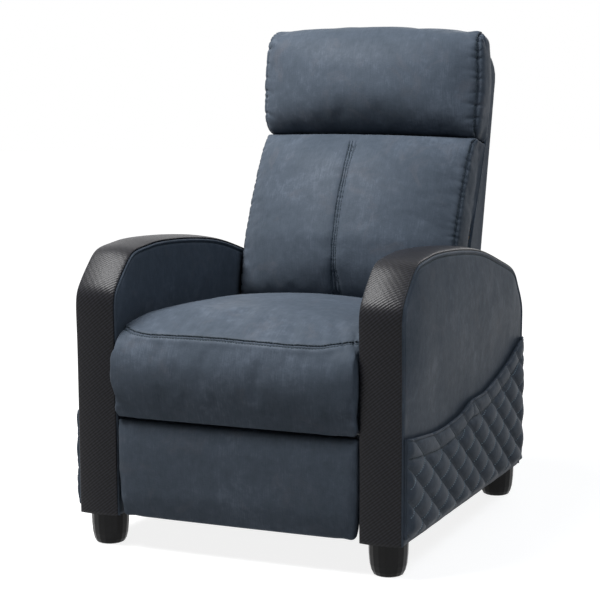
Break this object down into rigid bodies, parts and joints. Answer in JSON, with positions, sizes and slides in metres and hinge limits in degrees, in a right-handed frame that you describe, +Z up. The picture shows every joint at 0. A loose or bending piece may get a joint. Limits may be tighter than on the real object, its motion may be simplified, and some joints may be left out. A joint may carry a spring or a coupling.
{
  "type": "push-back gaming recliner",
  "caption": "Upholstered push-back recliner armchair with padded arms, head pillow, sliding seat, reclining back and fold-out footrest panel on a linkage.",
  "frame": {"origin": "floor level, midway between the front of the seat roll and the rear of the back, on the chair's centre plane", "axes": "+Z up, the chair's front faces -Y, +X is the sitter's left"},
  "size_m": [0.685, 0.8486, 1.004],
  "materials": {
    "faux_leather": "blue-grey embossed faux leather, soft sheen",
    "strap_twill": "near-black twill-embossed faux leather, satin",
    "foot_plastic": "black, semi-gloss",
    "glide_plastic": "natural nylon",
    "frame_board": "sawn plywood",
    "webbing": "woven elastic webbing",
    "steel": "dark coated steel"
  },
  "bodies": {
    "base": {"arm_cover_left": "faux_leather", "arm_cover_right": "faux_leather", "arm_frame_left": "frame_board", "arm_frame_right": "frame_board", "arm_strap_left": "strap_twill", "arm_strap_right": "strap_twill", "pocket_panel_left": "faux_leather", "pocket_panel_right": "faux_leather", "pocket_gusset_left": "faux_leather", "pocket_gusset_right": "faux_leather", "foot_front_left": "foot_plastic", "foot_front_right": "foot_plastic", "foot_rear_left": "foot_plastic", "foot_rear_right": "foot_plastic", "base_runner_left": "steel", "base_runner_right": "steel", "rear_panel": "frame_board", "base_cross_rail": "frame_board"},
    "carriage": {"seat_front_rail": "frame_board", "seat_rear_rail": "frame_board", "seat_cushion": "faux_leather", "seat_side_left": "frame_board", "seat_side_right": "frame_board", "seat_glide_left": "glide_plastic", "seat_glide_right": "glide_plastic", "seat_spring_1": "steel", "seat_spring_2": "steel", "seat_spring_3": "steel", "seat_spring_4": "steel", "mechanism_plate_left": "steel", "mechanism_plate_right": "steel"},
    "backrest": {"back_shell": "faux_leather", "back_top_rail": "frame_board", "back_bottom_rail": "frame_board", "lumbar_cushion": "faux_leather", "headrest_cushion": "faux_leather", "back_webbing_1": "webbing", "back_webbing_2": "webbing", "back_webbing_3": "webbing", "back_upright_left": "frame_board", "back_upright_right": "frame_board", "back_bracket_left": "steel", "back_bracket_right": "steel", "back_pivot_pin_left": "steel", "back_pivot_pin_right": "steel"},
    "lead_links": {"lead_link_left": "steel", "lead_link_right": "steel", "lead_torque_tube": "steel", "elbow_rivet_left": "steel", "elbow_rivet_right": "steel"},
    "carrier_links": {"carrier_link_left": "steel", "carrier_link_right": "steel", "panel_rivet_left": "steel", "panel_rivet_right": "steel"},
    "guide_links": {"guide_link_left": "steel", "guide_link_right": "steel"},
    "footrest": {"footrest_board": "frame_board", "footrest_pad": "faux_leather", "footrest_bracket_left": "steel", "footrest_bracket_right": "steel"}
  },
  "joints": [
    {"name": "seat_slide", "type": "slide", "parent": "base", "child": "carriage", "axis": [0, -1, 0], "range_m": [0, 0.06]},
    {"name": "back_recline", "type": "hinge", "parent": "carriage", "child": "backrest", "pos_m": [0, 0.18269, 0.36], "axis": [-1, 0, 0], "range_deg": [0, 45]},
    {"name": "footrest_open", "type": "hinge", "parent": "carriage", "child": "lead_links", "pos_m": [0, -0.26531, 0.246], "axis": [-1, 0, 0], "range_deg": [0, 127]},
    {"name": "carrier_fold", "type": "hinge", "parent": "lead_links", "child": "carrier_links", "pos_m": [0, -0.12629, 0.12853], "axis": [-1, 0, 0], "range_deg": [-111.5, 0]},
    {"name": "panel_turn", "type": "hinge", "parent": "carrier_links", "child": "footrest", "pos_m": [0, -0.29308, 0.18857], "axis": [-1, 0, 0], "range_deg": [0, 74.5]},
    {"name": "guide_swing", "type": "hinge", "parent": "carriage", "child": "guide_links", "pos_m": [0, -0.22053, 0.23708], "axis": [-1, 0, 0], "range_deg": [0, 126.7]}
  ],
  "couplings": [
    {"joint": "seat_slide", "follows": "back_recline", "m_per_rad": 0.0763},
    {"joint": "carrier_fold", "follows": "footrest_open", "ratio": -0.8772},
    {"joint": "panel_turn", "follows": "footrest_open", "ratio": 0.5858},
    {"joint": "guide_swing", "follows": "footrest_open", "ratio": 0.9969}
  ]
}
